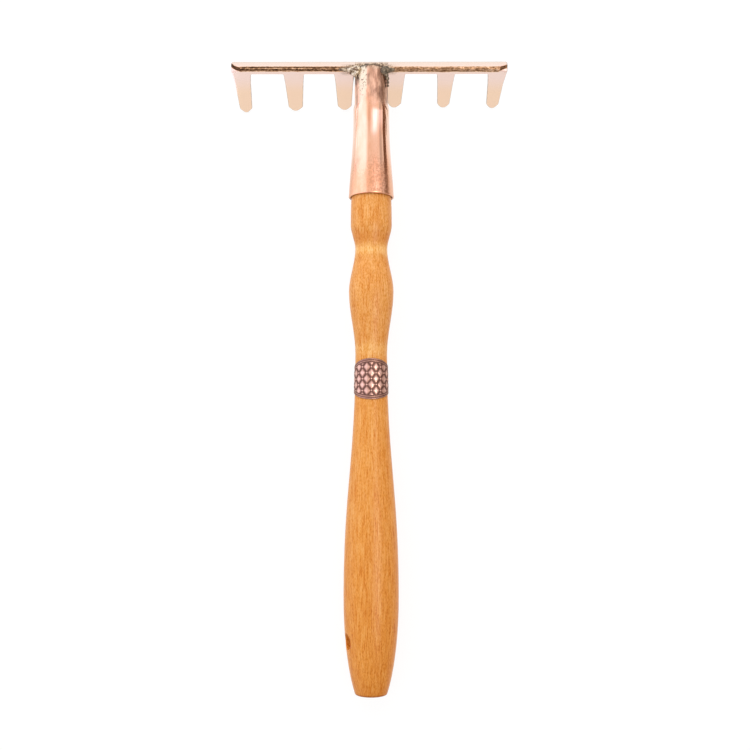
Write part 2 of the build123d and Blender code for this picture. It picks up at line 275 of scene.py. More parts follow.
class Look(Nodes):
    """A material with a principled shader."""

    def __init__(self, name, **sockets):
        self.material = bpy.data.materials.new(name)
        self.material.use_nodes = True
        super().__init__(self.material.node_tree)
        self.shader = self.tree.nodes["Principled BSDF"]
        self.set(**sockets)

    def set(self, **sockets):
        """Set or link the shader's sockets, named with underscores for spaces."""
        for name, value in sockets.items():
            self.give(self.shader.inputs[name.replace("_", " ")], value)

    def bump(self, height, strength, distance):
        """Roughen the surface by a height from 0 to 1 over that distance."""
        made = self.node("Bump", {"Height": height, "Strength": strength, "Distance": distance})
        self.set(Normal=made.outputs[0])

    def crust(self, size):
        """Colour of flux residue and scale, mottled from dark brown through olive to cream."""
        spread = self.noise(self.place((1 / size, 1 / size, 1 / size)), detail=4, roughness=0.65)
        return self.ramp(
            spread,
            (0.36, (0.030, 0.018, 0.012)),
            (0.45, (0.20, 0.115, 0.065)),
            (0.53, (0.42, 0.30, 0.19)),
            (0.60, (0.68, 0.53, 0.36)),
            (0.68, (0.88, 0.76, 0.60)),
        )


class TurnedGrain:
    """Places on the turned handle, for grain that follows its surface and runs a little under it."""

    radius = 14 * MM
    depth = 0.2
    level = (-LYING_PITCH, 0, 0)

    def __init__(self, look):
        self.look = look
        on_axis = Matrix.Rotation(-LYING_PITCH, 3, "X") @ TOOL.translation
        self.from_axis = look.vector("SUBTRACT", look.place(turn=self.level), tuple(on_axis))
        self.outward = look.vector("NORMALIZE", look.vector("MULTIPLY", self.from_axis, (1, 0, 1)))

    def follow(self, across, along):
        """Place round the surface and along it, at those scales."""
        shell = across * self.radius * (1 - self.depth)
        under = (across * self.depth, along, across * self.depth)
        inner = self.look.vector("MULTIPLY", self.from_axis, under)
        return self.look.vector("MULTIPLY_ADD", self.outward, (shell, shell, shell), inner)


def wood_fibres(look, grain, upper):
    """Light and dark of long and short fibres, shorter and stronger on the handle's upper part."""
    long_fibres = look.noise(grain.follow(across=3000, along=85))
    short_fibres = look.noise(grain.follow(across=3000, along=650))
    shortness = look.plus(0.42, look.times(upper, 0.08))
    strength = look.plus(1.18, look.times(upper, 0.17))
    fibres = look.minus(look.mix(shortness, long_fibres, short_fibres), 0.5)
    fibres = look.plus(look.times(fibres, strength), 0.5)
    return look.ramp(fibres, (0.36, (0.74, 0.47, 0.10)), (0.5, 1.0), (0.64, (1.09, 1.32, 2.30)))


def oiled_wood():
    """Amber beech: growth bands, fibres and flecks, a painted highlight ring at the neck with painted
    shade above it, a paler ring above the band, a darker grip, and painted shade on the rounded butt.
    """
    look = Look("oiled_wood", Roughness=0.32, Specular_IOR_Level=0.15)
    grain = TurnedGrain(look)
    along = look.node("SeparateXYZ", {0: look.place()}).outputs[1]
    butt_y = TOOL.translation.y
    bands = look.noise(look.place((260, 5, 260), grain.level), detail=3, distortion=0.4)
    tone = look.ramp(
        bands,
        (0.3, (0.84, 0.345, 0.070)),
        (0.5, (0.87, 0.374, 0.080)),
        (0.7, (0.895, 0.405, 0.096)),
    )
    upper = look.fade(along, butt_y + 150 * MM, butt_y + 230 * MM)
    tone = look.multiply(tone, wood_fibres(look, grain, upper))
    cells = {"Vector": grain.follow(across=2000, along=230)}
    flecks = look.node("TexVoronoi", cells, feature="F1").outputs[0]
    marks = look.ramp(flecks, (0.10, 1.0), (0.34, 0.0))
    tone = look.mix(look.times(marks, 0.45), tone, (0.60, 0.18, 0.020))

    # Rings round the handle: the height of the middle, half the width, and the tint. The first is a
    # painted highlight at the neck, the second painted shade on the slope above it, and the third a paler
    # ring just above the band
    rings = (
        (NECK_Z - 2 * MM, 5.5 * MM, (1.12, 1.36, 1.75)),
        (NECK_Z + 6 * MM, 5 * MM, (0.94, 0.84, 0.70)),
        (WAIST_Z + 2 * MM, 7 * MM, (1.08, 1.25, 1.5)),
    )
    for middle, half_width, tint in rings:
        away = look.compute("ABSOLUTE", look.minus(along, (TOOL @ Vector((0, 0, middle))).y))
        tone = look.tinted(look.fade(away, half_width, 0.1 * half_width), tone, tint)

    # Tints towards the butt: heights above it where the tint starts and where it is full, and the tint.
    # The grip turns darker and more saturated, and the last two are painted shade on the butt's rounded
    # end
    butt_tints_and_shade = (
        (200 * MM, 185 * MM, (1.0, 0.96, 0.84)),
        (140 * MM, 20 * MM, (0.96, 0.88, 0.68)),
        (14 * MM, 0, (0.92, 0.86, 0.76)),
        (1.6 * MM, 0.3 * MM, (0.70, 0.62, 0.55)),
    )
    for start, full, tint in butt_tints_and_shade:
        tone = look.tinted(look.fade(along, butt_y + start, butt_y + full), tone, tint)
    look.set(Base_Color=tone)
    look.bump(marks, strength=0.08, distance=0.2 * MM)
    return look.material


def nail_copper():
    """Hand-polished copper alloy with faint clouding."""
    look = Look("nail_copper", Metallic=1.0)
    clouds = look.noise(look.place((90, 90, 90)), detail=4)
    tone = look.mix(clouds, (0.744, 0.465, 0.3348), (0.80, 0.50, 0.36))
    look.set(Base_Color=tone, Roughness=look.ramp(clouds, (0.3, 0.39), (0.7, 0.24)))
    return look.material


def ferrule_copper():
    """Polished copper, freckled towards the mouth, and scorched, sooty and flux-stained near the head,
    with painted reflection along its sides and painted shade at the rim, down the neck's left side and on
    the lip.
    """
    look = Look("ferrule_copper", Metallic=1.0)
    clouds = look.noise(look.place((150, 45, 150)), detail=4)
    tone = look.mix(look.fade(clouds, 0.35, 0.65), (0.86, 0.41, 0.24), (0.93, 0.52, 0.35))
    # Paler copper along the sides: painted reflection
    tone = look.mix(look.times(look.attribute("pale"), 0.75), tone, (0.95, 0.72, 0.59))
    stain = look.noise(look.place((500, 150, 500)), detail=4, roughness=0.65)
    browned = look.ramp(
        stain,
        (0.36, (0.17, 0.085, 0.05)),
        (0.5, (0.42, 0.22, 0.14)),
        (0.64, (0.72, 0.43, 0.28)),
    )
    # Browned by heat, and darkened as painted shade on the neck's left flank and the lip
    tone = look.stained(tone, "scorch", browned)
    pits = look.noise(look.place((900, 700, 900)), detail=3, roughness=0.6)
    flux = look.ramp(
        pits,
        (0.38, (0.07, 0.045, 0.03)),
        (0.42, (0.36, 0.28, 0.18)),
        (0.47, (0.66, 0.58, 0.40)),
    )
    tone = look.stained(tone, "cream", flux)
    # Near-black: sooty marks, and painted shadow along the rim
    soot_and_shadow_tone = look.ramp(stain, (0.40, (0.035, 0.03, 0.024)), (0.60, (0.15, 0.12, 0.08)))
    tone = look.stained(tone, "soot_and_shadow", soot_and_shadow_tone)
    tone = look.tinted(look.times(look.attribute("peel"), 0.6), tone, (0.94, 0.84, 0.70))
    freckles = look.fade(look.noise(look.place((1000, 650, 1000))), 0.42, 0.60)
    freckles = look.times(freckles, look.times(look.attribute("freckled"), 0.85))
    tone = look.mix(freckles, tone, (0.60, 0.255, 0.135))
    rough = look.ramp(clouds, (0.35, 0.16), (0.65, 0.09))
    stains_and_shade = (("peel", 0.30), ("dull", 0.36), ("scorch", 0.38), ("cream", 0.4), ("soot_and_shadow", 0.6))
    for name, roughness in stains_and_shade:
        rough = look.stained(rough, name, roughness)
    look.set(Base_Color=tone, Roughness=rough)
    peel = look.noise(look.place((1000, 1000, 1000)))
    look.bump(look.times(peel, look.attribute("peel")), strength=0.45, distance=0.2 * MM)
    return look.material


def head_copper():
    """Pale polished sheet, tarnished brown along the bend with painted dark reflection lines there, and
    crust beside the braze.
    """
    look = Look("head_copper", Metallic=1.0)
    clouds = look.noise(look.place((90, 90, 90)), detail=4)
    tone = look.stained((0.86, 0.67, 0.60), "tip", (0.87, 0.635, 0.465))
    tone = look.stained(tone, "flange", (0.71, 0.62, 0.54))
    tone = look.mix(look.ramp(clouds, (0.3, 0.0), (0.7, 0.25)), tone, (0.80, 0.56, 0.43))
    streaks = look.noise(look.place((140, 1100, 1100)), detail=4, roughness=0.7)
    grit = look.noise(look.place((800, 1100, 1100)), detail=3, roughness=0.6)
    streaks = look.minus(look.mix(0.5, streaks, grit), 0.5)
    # Tarnished brown along the bend, deepening to painted dark reflection lines
    brown = look.ramp(
        look.plus(look.attribute("tarnish_and_reflection"), look.times(streaks, 2.4)),
        (0.20, (0.86, 0.62, 0.46)),
        (0.45, (0.62, 0.36, 0.20)),
        (0.70, (0.20, 0.095, 0.045)),
        (1.00, (0.045, 0.022, 0.012)),
    )
    tone = look.mix(look.fade(look.attribute("tarnish_and_reflection"), 0.05, 0.25), tone, brown)
    tone = look.mix(look.times(look.attribute("cut"), 0.75), tone, (0.30, 0.26, 0.23))
    tone = look.stained(tone, "crust", look.crust(1.1 * MM))
    rough = look.ramp(clouds, (0.3, 0.26), (0.7, 0.17))
    for name, roughness in (("tarnish_and_reflection", 0.4), ("filed", 0.7), ("crust", 0.6)):
        rough = look.stained(rough, name, roughness)
    look.set(Base_Color=tone, Roughness=rough)
    return look.material


def rough_braze():
    """Crusted braze, with cream patches beside the ferrule on the left and darker on the right."""
    look = Look("braze", Metallic=0.5, Roughness=0.55)
    mottle = look.noise(look.place((700, 700, 700)), detail=3)
    dark = look.ramp(mottle, (0.4, (0.090, 0.066, 0.043)), (0.62, (0.26, 0.195, 0.13)))
    patches = look.fade(look.noise(look.place((450, 450, 450)), detail=3), 0.40, 0.58)
    patches = look.times(patches, look.attribute("cream"))
    pale = look.mix(patches, look.crust(2.4 * MM), (0.88, 0.76, 0.60))
    look.set(Base_Color=look.stained(pale, "dark", dark))
    grain = look.noise(look.place((1500, 1500, 1500)), detail=3)
    coarse = look.minus(1.0, look.times(look.attribute("dark"), 0.7))
    look.bump(look.times(grain, coarse), strength=0.4, distance=0.3 * MM)
    return look.material


def antique_copper():
    """Darkened copper, rubbed bright where the relief stands up."""
    look = Look("antique_copper", Metallic=0.7)
    grime = look.noise(look.place((500, 500, 500)), detail=4, roughness=0.6)
    worn = look.plus(look.attribute("relief"), look.times(look.minus(grime, 0.5), 0.35))
    tone = look.ramp(
        worn,
        (0.10, (0.130, 0.058, 0.040)),
        (0.35, (0.270, 0.128, 0.092)),
        (0.65, (0.520, 0.275, 0.205)),
        (0.95, (0.760, 0.460, 0.360)),
    )
    look.set(Base_Color=tone, Roughness=look.ramp(worn, (0.2, 0.55), (0.7, 0.35)))
    return look.material


def finish_node(node, material):
    """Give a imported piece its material."""
    mesh = frame["nodes"][node].data
    mesh.materials.clear()
    mesh.materials.append(material)


def show(name, mesh, material, node):
    """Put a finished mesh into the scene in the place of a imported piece."""
    mesh.materials.clear()
    mesh.materials.append(material)
    mesh.polygons.foreach_set("use_smooth", [True] * len(mesh.polygons))
    piece = bpy.data.objects.new(name, mesh)
    bpy.context.scene.collection.objects.link(piece)
    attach(piece, "root")
    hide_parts(node)


def note(mesh, values):
    """Keep named numbers for each vertex of a mesh, for its material."""
    for name, numbers in values.items():
        mesh.attributes.new(name, "FLOAT", "POINT").data.foreach_set("value", numbers)


def on_turning(radius, angle, z):
    """Point at a radius and an angle round the handle's axis, in the tool's frame."""
    return Vector((radius * math.cos(angle), radius * math.sin(angle), z))


def ring_faces(rings, sides, closed_round=True):
    """Quads between successive rings of points, the last ring joined to the first."""
    faces = []
    for ring in range(rings):
        here = ring * sides
        after = (ring + 1) % rings * sides
        for side in range(sides if closed_round else sides - 1):
            beside = (side + 1) % sides
            faces.append((here + side, here + beside, after + beside, after + side))
    return faces


def ferrule_radius(z, angle):
    """Radius of the ferrule's outside at a height: the neck is drawn in from the sides."""
    if z < FLARE_TOP_Z:
        share = max((z - MOUTH_Z) / FLARE_LENGTH, 0)
        rest = 1 - share
        pulled = MOUTH_RADIUS - (MOUTH_RADIUS - BODY_RADIUS) * FLARE_FULLNESS
        lip = LIP_FLARE * ease(MOUTH_Z + LIP_FLARE_HEIGHT, MOUTH_Z, z)
        upper = (3 * rest * share**2 + share**3) * BODY_RADIUS
        return rest**3 * MOUTH_RADIUS + 3 * rest**2 * share * pulled + upper + lip
    sideways = math.cos(angle) ** 2
    spread = FRONT_DRAW_SPREAD * (1 - sideways)
    drawn = FRONT_DRAW + (1 - FRONT_DRAW) * sideways
    drawn *= ease(DRAW_Z - spread, NECK_START_Z + spread, z)
    return BODY_RADIUS + (NECK_RADIUS - BODY_RADIUS) * drawn


def ferrule_end(radius, angle):
    """Height of the ferrule's end: square in front, and along the underside of the tines behind."""
    behind = radius * math.sin(angle) + RIDGE_FORWARD
    return min(RIM_Z, RIDGE_Z - behind / math.tan(TINE_ANGLE))


def stain_wander(here):
    """How far a stain's edge strays on the ferrule."""
    return 3 * MM * ripple(here, 4 * MM)


def brazing_heat(here):
    """Share of the brazing's heat that the ferrule took: all of it on the neck, none on the flare."""
    return ease(-6 * MM, 1.5 * MM, here.z - NECK_START_Z + stain_wander(here))


def ferrule_relief(here, angle, radius):
    """Height of the ferrule's faint dents, and of warps from the heat, less the seam behind."""
    dent_height = 0.05 * MM
    dent_size = 9 * MM
    warp_height = 0.03 * MM
    warp_size = 2.5 * MM
    seam_half_width = 0.5 * MM
    seam_depth = 0.12 * MM
    dents = dent_height * ripple(here, dent_size)
    warps = brazing_heat(here) * warp_height * ripple(here, warp_size)
    from_seam = abs(angle - math.pi / 2) * radius
    return dents + warps - seam_depth * ease(seam_half_width, 0, from_seam)


def painted_side_reflection(angle, above_mouth):
    """Share of paler copper: painted reflection along both sides, and a little on the left towards the
    head.
    """
    sideways = math.cos(angle)
    # The painted reflection grows stronger towards the head
    worn = 0.35 + 0.65 * ease(14 * MM, 40 * MM, above_mouth)
    left = 0.2 * ease(26 * MM, 42 * MM, above_mouth) * ease(0.25, 0.4, -sideways)
    return worn * max(left, ease(0.70, 0.90, abs(sideways)))


def scorch_share(here, wander, front):
    """Brown heat colours on the neck's right and middle, the rim and a smudge on the flare, and painted
    shade down the neck's left side.
    """
    right = 0.9 * ease(3.2 * MM, 5 * MM, here.x + 0.3 * wander)
    middle = (0.45 + 0.35 * hump(3 * MM, 3 * MM, here.x)) * ease(-4 * MM, -2 * MM, here.x)
    # Painted shade along the neck's left flank
    flank_shade = hump(-9.3 * MM, 0.5 * MM, here.x) * ease(DRAW_Z - 3 * MM, NECK_START_Z, here.z)
    rim = 0.75 * ease(-5 * MM, -1.5 * MM, here.z - RIM_Z + 0.6 * wander)
    smudge = hump(-10 * MM, 2.2 * MM, here.x + 0.3 * wander) * hump(20 * MM, 8 * MM, here.z - MOUTH_Z)
    return max(brazing_heat(here) * max(right, middle), front * max(flank_shade, rim, 0.35 * smudge))


def flux_share(here, wander, front):
    """Cream flux: a pitted patch on the neck's left, and traces along the rim."""
    from_rim = here.z - RIM_Z
    patch = ease(-2.6 * MM, -3.4 * MM, here.x) * ease(-9.2 * MM, -7.8 * MM, here.x + 0.3 * wander)
    patch *= ease(-24 * MM, -13 * MM, from_rim + wander)
    rim = ease(-4 * MM, -0.5 * MM, from_rim + 0.6 * wander)
    return front * max(0.85 * patch, 0.3 * rim)


def soot_and_rim_shadow(here, wander, front):
    """Near-black: painted shadow of the gap between the rim and the flange, and sooty marks down the
    neck's left edge and in a streak beside the flux.
    """
    from_rim = here.z - RIM_Z
    # Painted shadow of the gap between the rim and the flange
    rim = ease(-0.9 * MM, -0.3 * MM, from_rim + 0.1 * wander)
    edge = ease(-7.4 * MM, -8.6 * MM, here.x + 0.4 * wander) * ease(-13 * MM, -7 * MM, from_rim + wander)
    streak = hump(-2.0 * MM, 0.9 * MM, here.x)
    streak *= ease(-5 * MM, -7 * MM, from_rim) * ease(-15 * MM, -12 * MM, from_rim)
    return max(0.9 * rim, 0.8 * edge, 0.45 * streak * front)


def ferrule_stains_and_shade(here):
    """Shares of each stain, and of painted shade, at a point on the ferrule's outside."""
    wander = stain_wander(here)
    front = ease(0, -2 * MM, here.y)
    above_mouth = here.z - MOUTH_Z + wander
    in_front = ease(-4 * MM, 2 * MM, here.x) * ease(12 * MM, 9 * MM, here.x)
    return {
        "scorch": scorch_share(here, wander, front),
        "cream": flux_share(here, wander, front),
        "soot_and_shadow": soot_and_rim_shadow(here, wander, front),
        "dull": ease(-5 * MM, -1 * MM, here.z - NECK_START_Z + 0.3 * wander),
        "peel": ease(26 * MM, 8 * MM, above_mouth),
        "freckled": ease(30 * MM, 10 * MM, above_mouth) * (0.25 + 0.75 * in_front),
    }


def make_ferrule():
    """Rolled ferrule with a rounded lip, faint dents, a seam behind and a stained end, with painted shadow
    at its rim and painted shade on its lip.
    """
    sides = 288
    outside_rings = 216
    inside_rings = 24
    lip_rings = 8
    half_wall = FERRULE_WALL / 2
    lip_z = MOUTH_Z + half_wall
    points = []
    stains_and_shade = ("scorch", "cream", "soot_and_shadow", "dull", "peel", "freckled")
    notes = {name: [] for name in ("pale", *stains_and_shade)}

    def put(radius, angle, z, **shares):
        points.append(TOOL @ on_turning(radius, angle, z))
        notes["pale"].append(painted_side_reflection(angle, z - MOUTH_Z))
        for name in stains_and_shade:
            notes[name].append(shares.get(name, 0.0))

    angles = [2 * math.pi * side / sides for side in range(sides)]
    for ring in range(outside_rings):
        share = ring / (outside_rings - 1)
        for angle in angles:
            z = lip_z + (ferrule_end(NECK_RADIUS, angle) - lip_z) * share
            radius = ferrule_radius(z, angle)
            here = on_turning(radius, angle, z)
            put(radius + ferrule_relief(here, angle, radius), angle, z, **ferrule_stains_and_shade(here))
    for ring in range(inside_rings):
        share = 1 - ring / (inside_rings - 1)
        for angle in angles:
            z = lip_z + (ferrule_end(NECK_RADIUS - FERRULE_WALL, angle) - lip_z) * share
            put(ferrule_radius(z, angle) - FERRULE_WALL, angle, z, scorch=1.0)
    for ring in range(1, lip_rings):
        share = ring / lip_rings
        turn = math.pi * share
        for angle in angles:
            z = lip_z - half_wall * math.sin(turn)
            radius = ferrule_radius(lip_z, angle) - half_wall - half_wall * math.cos(turn)
            # The lip's inner half is browned as painted shade under the mouth's edge
            put(radius, angle, z, scorch=0.8 * ease(0.8, 0.5, share), peel=1.0)
    mesh = bpy.data.meshes.new("ferrule_sheet")
    mesh.from_pydata(points, [], ring_faces(outside_rings + inside_rings + lip_rings - 1, sides))
    note(mesh, notes)
    return mesh


def prism(name, outline, low, high):
    """Straight-sided block over a flat outline, which runs anticlockwise seen from above."""
    count = len(outline)
    points = [(x, y, z) for z in (low, high) for x, y in outline]
    walls = [(i, (i + 1) % count, count + (i + 1) % count, count + i) for i in range(count)]
    mesh = bpy.data.meshes.new(name)
    mesh.from_pydata(points, [], [range(count - 1, -1, -1), range(count, 2 * count), *walls])
    return mesh


def remeshed(mesh, voxel, smoothing, cutter=None):
    """Copy of a mesh, less a cutter, rebuilt on an even grid with its edges worn round."""
    copy = bpy.data.objects.new("remesh_source", mesh)
    bpy.context.scene.collection.objects.link(copy)
    if cutter:
        tool = bpy.data.objects.new("cutter", cutter)
        bpy.context.scene.collection.objects.link(tool)
        cut = copy.modifiers.new("cut", "BOOLEAN")
        cut.operation = "DIFFERENCE"
        cut.solver = "EXACT"
        cut.object = tool
    remesh = copy.modifiers.new("remesh", "REMESH")
    remesh.mode = "VOXEL"
    remesh.voxel_size = voxel
    smooth = copy.modifiers.new("smooth", "SMOOTH")
    smooth.factor = 0.5
    smooth.iterations = smoothing
    evaluated = copy.evaluated_get(bpy.context.evaluated_depsgraph_get())
    made = bpy.data.meshes.new_from_object(evaluated)
    bpy.data.objects.remove(copy)
    if cutter:
        bpy.data.objects.remove(tool)
    return made


def raise_skin(mesh, heights):
    """Move each vertex along its normal."""
    moved = [v.co + v.normal * height for v, height in zip(mesh.vertices, heights)]
    mesh.vertices.foreach_set("co", [number for point in moved for number in point])
    mesh.update()


def welded_copy(mesh):
    """Copy of a mesh in the head's own frame, its faces joined along their edges."""
    build = bmesh.new()
    build.from_mesh(mesh)
    bmesh.ops.remove_doubles(build, verts=build.verts, dist=0.001 * MM)
    bmesh.ops.transform(build, matrix=HEAD.inverted(), verts=build.verts)
    copy = bpy.data.meshes.new("welded")
    build.to_mesh(copy)
    build.free()
    return copy


def slit_block():
    """Block that cuts the slit between the third tine and the ferrule, in the head's own frame."""
    top = NOTCH_DEPTH
    knee = 14.0 * MM
    bottom = 20.6 * MM
    right = -9.4 * MM
    left_at_top = -10.65 * MM
    left_at_knee = -11.4 * MM
    left_at_bottom = -11.75 * MM
    spare = 0.5 * MM
    outline = [
        (right, top),
        (right, bottom),
        (left_at_bottom, bottom),
        (left_at_knee, knee),
        (left_at_top, top),
    ]
    return prism("slit", outline, -spare, SHEET + spare)


def cut_by_hand(x, down):
    """Place across the head of a point on a tine, with some tines left wider and the tips filed fuller."""
    middle_tine = (len(TINE_LENGTHS) - 1) / 2
    index = min(max(round(x / TINE_PITCH + middle_tine), 0), len(TINE_LENGTHS) - 1)
    middle = (index - middle_tine) * TINE_PITCH
    aside = x - middle
    length = TINE_LENGTHS[index]
    fuller = 1 + TIP_FULLNESS[index] * ease(length - TIP_LENGTH, length, down)
    extra = -EXTRA_LEFT[index] if aside < 0 else EXTRA_RIGHT[index]
    fade_start = 1.6 * TINE_HALF_WIDTH
    share = min(abs(aside) / TINE_HALF_WIDTH, 1) * ease(TINE_PITCH / 2, fade_start, abs(aside))
    return middle + aside * fuller + extra * share * ease(BEND_RADIUS, NOTCH_DEPTH, down)


def round_the_bend(down, up):
    """How far round the bend a point lies, how far past it, and whether it is on the outer skin.

    The first is 0 where the flange begins and 1 where the tines begin, and runs on along both.
    """
    past = max(down - BEND_RADIUS, up - BEND_RADIUS, 0)
    if past > 0:
        quarter = BEND_RADIUS * math.pi / 2
        share = 1 + past / quarter if down > up else -past / quarter
        return share, past, ease(0.8 * MM, 0.4 * MM, min(down, up))
    inward = Vector((BEND_RADIUS - down, BEND_RADIUS - up))
    share = math.atan2(inward.y, inward.x) / (math.pi / 2)
    return share, past, ease(BEND_RADIUS - 0.35 * MM, BEND_RADIUS - 0.12 * MM, inward.length)


def filed_facet(filed, down, up):
    """Share of the flat filed on the nose of the bend, which lies deeper towards the head's ends."""
    if filed == 0:
        return 0
    below_nose = (down + up) / math.sqrt(2) - BEND_RADIUS * (math.sqrt(2) - 1)
    return ease(0.7 * MM, 0.4 * MM, abs(below_nose - filed * END_FILING_DEPTH))


def bend_tarnish_and_reflection(x, share, wander):
    """Brown round the bend, with two dark lines that wander, fainter and lower on the right: tarnished
    copper, with the lines as painted reflection.
    """
    place = share + 12 * wander
    right = ease(-15 * MM, 15 * MM, x)
    upper = (1 - 0.2 * right) * hump(0.34 + 0.16 * right, 0.12 + 0.1 * right, place)
    lower = (1 - 0.2 * right) * hump(0.74 + 0.3 * ease(-60 * MM, 30 * MM, x), 0.17, place)
    return max(upper, lower, 0.62 - 0.15 * right) * ease(0.08, 0.26, share + 60 * wander)


def end_tarnish_and_reflection(x, share, filed):
    """Dark band near the bend's ends, where it sweeps up to the flange, further on the left: painted
    reflection on tarnished copper.
    """
    middle = 0.60 - 0.95 * filed**3 if x < 0 else 0.62 - 0.55 * filed**1.6
    return 0.85 * ease(0.46, 0.30, abs(share - middle))


def braze_splash(x, down, up, wander):
    """Share of braze crust on the sheet beside the ferrule, which reaches further on the left."""
    from_axis = abs(x + HEAD_OFFSET)
    reach = 22 * MM if x < 0 else 18 * MM
    near = ease(reach, reach - 10 * MM, from_axis + 6 * wander)
    height = up * (1.1 if from_axis < NECK_RADIUS else 1.6)
    return 0.9 * near * ease(6.5 * MM, 4 * MM, max(down, height) + 3 * wander)


def cut_edge(normal, down, up, plain_sheet):
    """Share of sawn edge, from the way the surface faces; on the bend only its two ends are sawn."""
    if not plain_sheet:
        return ease(0.6, 0.9, abs(normal.x))
    across_sheet = normal.z if down > up else normal.y
    return ease(0.98, 0.6, abs(across_sheet))


def make_head():
    """Bent sheet with worn edges, faint waves, a dented bend, filed ends and a slit beside the ferrule."""
    packed = welded_copy(frame["nodes"]["tine_head"].data)
    mesh = remeshed(packed, HEAD_VOXEL, smoothing=3, cutter=slit_block())
    notes = {name: [] for name in ("tarnish_and_reflection", "crust", "tip", "flange", "cut", "filed")}
    waves = []
    wander_reach = 0.35 * MM
    wander_size = 5 * MM
    bend_fade = 0.9 * MM
    lower_on_right = 0.5 * MM
    facet_margin = 1.6 * MM
    wave_height = 0.04 * MM
    wave_size = 16 * MM
    left_dent_height = 0.10 * MM
    right_dent_height = 0.04 * MM
    dent_size = 2.2 * MM
    for vertex in mesh.vertices:
        x, down, up = vertex.co
        wander = wander_reach * ripple(vertex.co, wander_size)
        right = ease(-15 * MM, 15 * MM, x)
        share, past, skin = round_the_bend(down, up)
        filed = max(abs(x) - HEAD_HALF_WIDTH + END_FILING_LENGTH, 0) / END_FILING_LENGTH
        facet = filed_facet(filed, down, up)
        skin = max(skin, facet)
        by_facet = filed > 0 and past < facet_margin
        bend = skin * ease(bend_fade, 0.0, past - lower_on_right * right + wander)
        # Painted dark reflection lines round the bend and up its ends, on tarnished copper
        tarnish_and_reflection = bend * bend_tarnish_and_reflection(x, share, wander)
        at_end = skin * end_tarnish_and_reflection(x, share + 60 * wander, filed)
        notes["tarnish_and_reflection"].append(tarnish_and_reflection + (at_end - tarnish_and_reflection) * ease(0.0, 0.35, filed))
        notes["crust"].append(braze_splash(x, down, up, wander))
        notes["tip"].append(ease(8 * MM, 22 * MM, down))
        notes["flange"].append(0.5 * ease(2.4 * MM, 3.2 * MM, up) + 0.5 * ease(4.8 * MM, 5.8 * MM, up))
        notes["cut"].append(cut_edge(vertex.normal, down, up, past > 0 and not by_facet))
        notes["filed"].append(facet)
        dent_height = left_dent_height + (right_dent_height - left_dent_height) * right
        dent = bend * dent_height * ripple(vertex.co, dent_size)
        waves.append(wave_height * ripple(vertex.co, wave_size) + dent)
    raise_skin(mesh, waves)
    for vertex in mesh.vertices:
        vertex.co.x = cut_by_hand(vertex.co.x, vertex.co.y)
    mesh.transform(HEAD)
    note(mesh, notes)
    return mesh


def make_braze():
    """Lumpy braze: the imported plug, with drops run together in place of the beads."""
    build = bmesh.new()
    build.from_mesh(frame["nodes"]["braze_fill"].data)
    outside = [v for v in build.verts if abs(v.co.x) > NECK_RADIUS - FERRULE_WALL]
    bmesh.ops.delete(build, geom=outside, context="VERTS")
    for x, y, z, radius in BRAZE_DROPS:
        centre = Matrix.Translation(TOOL @ Vector((x * MM, y * MM, RIDGE_Z + z * MM)))
        bmesh.ops.create_icosphere(build, subdivisions=3, radius=radius * MM, matrix=centre)
    drops = bpy.data.meshes.new("drops")
    build.to_mesh(drops)
    build.free()
    mesh = remeshed(drops, BRAZE_VOXEL, smoothing=4)
    lump_height = 0.45 * MM
    lump_size = 2.2 * MM
    grain_height = 0.16 * MM
    grain_size = 0.8 * MM
    lumps = []
    for vertex in mesh.vertices:
        lump = lump_height * ripple(vertex.co, lump_size) + grain_height * ripple(vertex.co, grain_size)
        lumps.append(lump * (1 - 0.7 * ease(4 * MM, 7 * MM, vertex.co.x)))
    raise_skin(mesh, lumps)
    across = [v.co.x for v in mesh.vertices]
    creams = [0.8 * ease(-16 * MM, -13 * MM, x) * ease(-5 * MM, -7 * MM, x) for x in across]
    darks = [max(ease(-2 * MM, 6 * MM, x), 0.35 * ease(-13 * MM, -17 * MM, x)) for x in across]
    note(mesh, {"dark": darks, "cream": creams})
    return mesh


def grip_profile():
    """Heights and radii along the turning's curve from its belly to its waist."""
    share = np.linspace(0, 1, 600)
    rest = 1 - share
    along = 3 * rest**2 * share * GRIP_FULLNESS + 3 * rest * share**2 * (1 - GRIP_FULLNESS) + share**3
    inward = share**2 * (3 - 2 * share)
    heights = BELLY_Z + (WAIST_Z - BELLY_Z) * along
    radii = BELLY_RADIUS + (WAIST_RADIUS - BELLY_RADIUS) * inward
    return heights, radii


def band_relief(around, z, from_edge):
    """Height of the ornament, from 0 to 1: two rims along each edge round a field of studded lozenges."""
    rim_width = 0.95 * MM
    rim_step = 1.2 * MM
    lozenge_width = 5.6 * MM
    lozenge_height = 7.4 * MM
    for rim in range(2):
        across = abs(from_edge - rim_width / 2 - rim * rim_step) / (rim_width / 2)
        if across < 1:
            return 0.5 * math.sqrt(1 - across * across)
    field_start = 2 * rim_step
    if from_edge < field_start:
        return 0
    first = (around / lozenge_width + z / lozenge_height) % 1
    second = (around / lozenge_width - z / lozenge_height) % 1
    to_line = min(first, 1 - first, second, 1 - second)
    to_crossing = math.hypot(min(first, 1 - first), min(second, 1 - second))
    pillow = 0.9 * math.sqrt(ease(0.05, 0.4, to_line))
    stud = 0.9 * ease(0.17, 0.05, to_crossing)
    return max(pillow, stud) * ease(field_start, field_start + 0.4 * MM, from_edge)


